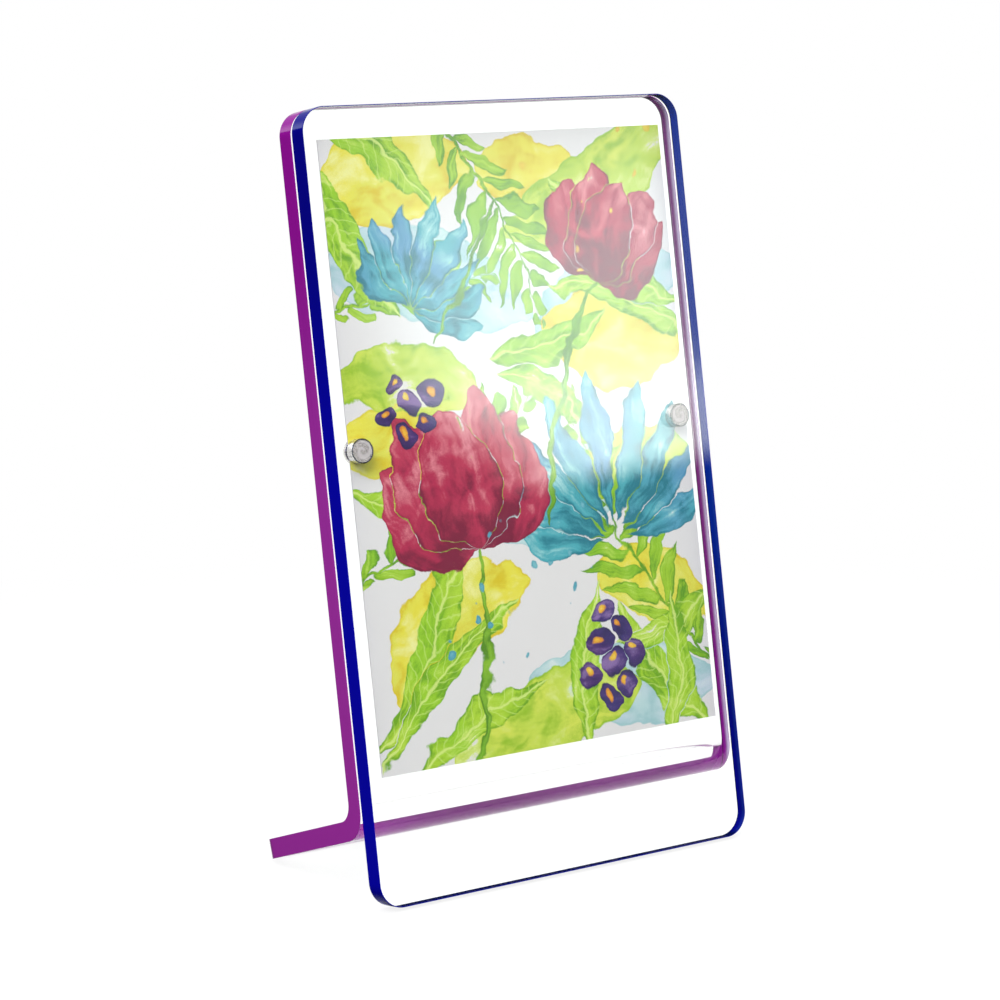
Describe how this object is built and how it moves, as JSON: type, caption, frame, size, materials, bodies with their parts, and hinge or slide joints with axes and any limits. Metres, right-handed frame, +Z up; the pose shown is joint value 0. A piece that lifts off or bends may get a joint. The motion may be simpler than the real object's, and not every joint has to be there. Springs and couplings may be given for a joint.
{
  "type": "magnetic photo frame",
  "caption": "Free-standing clear acrylic photo frame: a flat front panel held by magnets to a bent back panel with a foot, a print between them, coloured edges.",
  "frame": {"origin": "centre of the rectangle that the standing frame covers, on the surface that it stands on", "axes": "+X to the viewer's right, -Y towards the viewer who looks at the print, +Z up; the panels lean back by 9 degrees, as the frame stands"},
  "size_m": [0.1116, 0.0574, 0.1894],
  "materials": {
    "clear_acrylic": "clear cast acrylic, polished faces",
    "blue_edge_paint": "glossy opaque blue edge colour",
    "magenta_edge_paint": "glossy opaque magenta edge colour",
    "nickel_plated_magnet": "bright nickel plating on a neodymium magnet",
    "clear_glue": "clear cured adhesive",
    "printed_card": "satin printed photo card"
  },
  "bodies": {
    "back_stand": {"back_panel": "clear_acrylic", "back_edge_paint": "magenta_edge_paint", "back_magnet_left": "nickel_plated_magnet", "back_magnet_right": "nickel_plated_magnet", "back_magnet_glue_left": "clear_glue", "back_magnet_glue_right": "clear_glue"},
    "front": {"front_panel": "clear_acrylic", "front_edge_paint": "blue_edge_paint", "front_magnet_left": "nickel_plated_magnet", "front_magnet_right": "nickel_plated_magnet", "front_magnet_glue_left": "clear_glue", "front_magnet_glue_right": "clear_glue"},
    "print": {"photo_card": "printed_card"}
  },
  "joints": [
    {"name": "front_pull_off", "type": "slide", "parent": "back_stand", "child": "front", "axis": [0, -0.9878, 0.1559], "range_m": [0, 0.06]},
    {"name": "print_slide_out", "type": "slide", "parent": "back_stand", "child": "print", "axis": [0, 0.1559, 0.9878], "range_m": [0, 0.165]}
  ]
}
